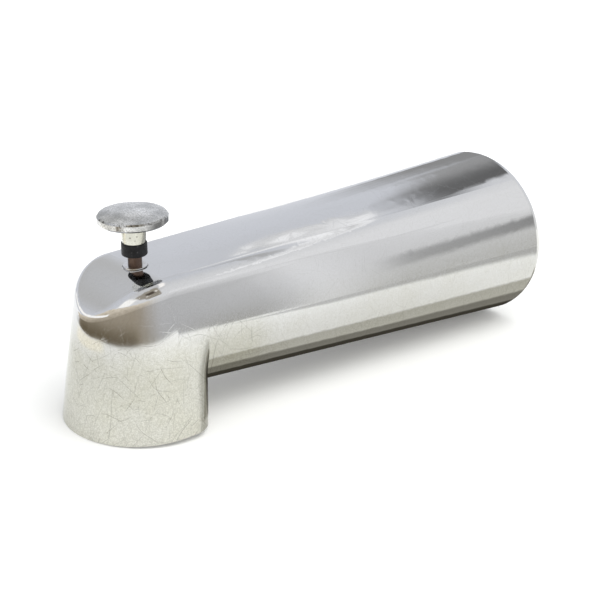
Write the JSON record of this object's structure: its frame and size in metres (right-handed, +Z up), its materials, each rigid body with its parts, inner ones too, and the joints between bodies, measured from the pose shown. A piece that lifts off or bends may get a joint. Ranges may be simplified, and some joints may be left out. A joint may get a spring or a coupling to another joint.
{
  "type": "bath spout",
  "caption": "Chrome bath spout with a round wall end, a drafted outlet and a pull-up knob that lifts a diverter gate against the inlet port.",
  "frame": {"origin": "mouth of the inlet thread, on the thread axis", "axes": "+Y out of the thread towards the wall, +Z up, -Y towards the nose"},
  "size_m": [0.06, 0.183, 0.076],
  "materials": {
    "chrome_body": "polished chrome plate with fine scratches",
    "chrome_knob": "polished chrome plate",
    "brass_bushing": "turned brass",
    "brass_rod": "tarnished brass",
    "brass_gate": "cast brass",
    "brass_nut": "turned brass",
    "guide_metal": "plated flange, worn",
    "black_rubber": "matte"
  },
  "bodies": {
    "spout": {"spout_body": "chrome_body", "inlet_bushing": "brass_bushing", "rod_guide": "guide_metal", "rod_seal": "black_rubber"},
    "diverter": {"lift_rod": "brass_rod", "diverter_gate": "brass_gate", "gate_seal": "black_rubber", "gate_nut": "brass_nut", "knob_ring": "black_rubber", "diverter_knob": "chrome_knob"}
  },
  "joints": [
    {"name": "diverter_lift", "type": "slide", "parent": "spout", "child": "diverter", "axis": [0, 0, 1], "range_m": [0, 0.013]}
  ]
}
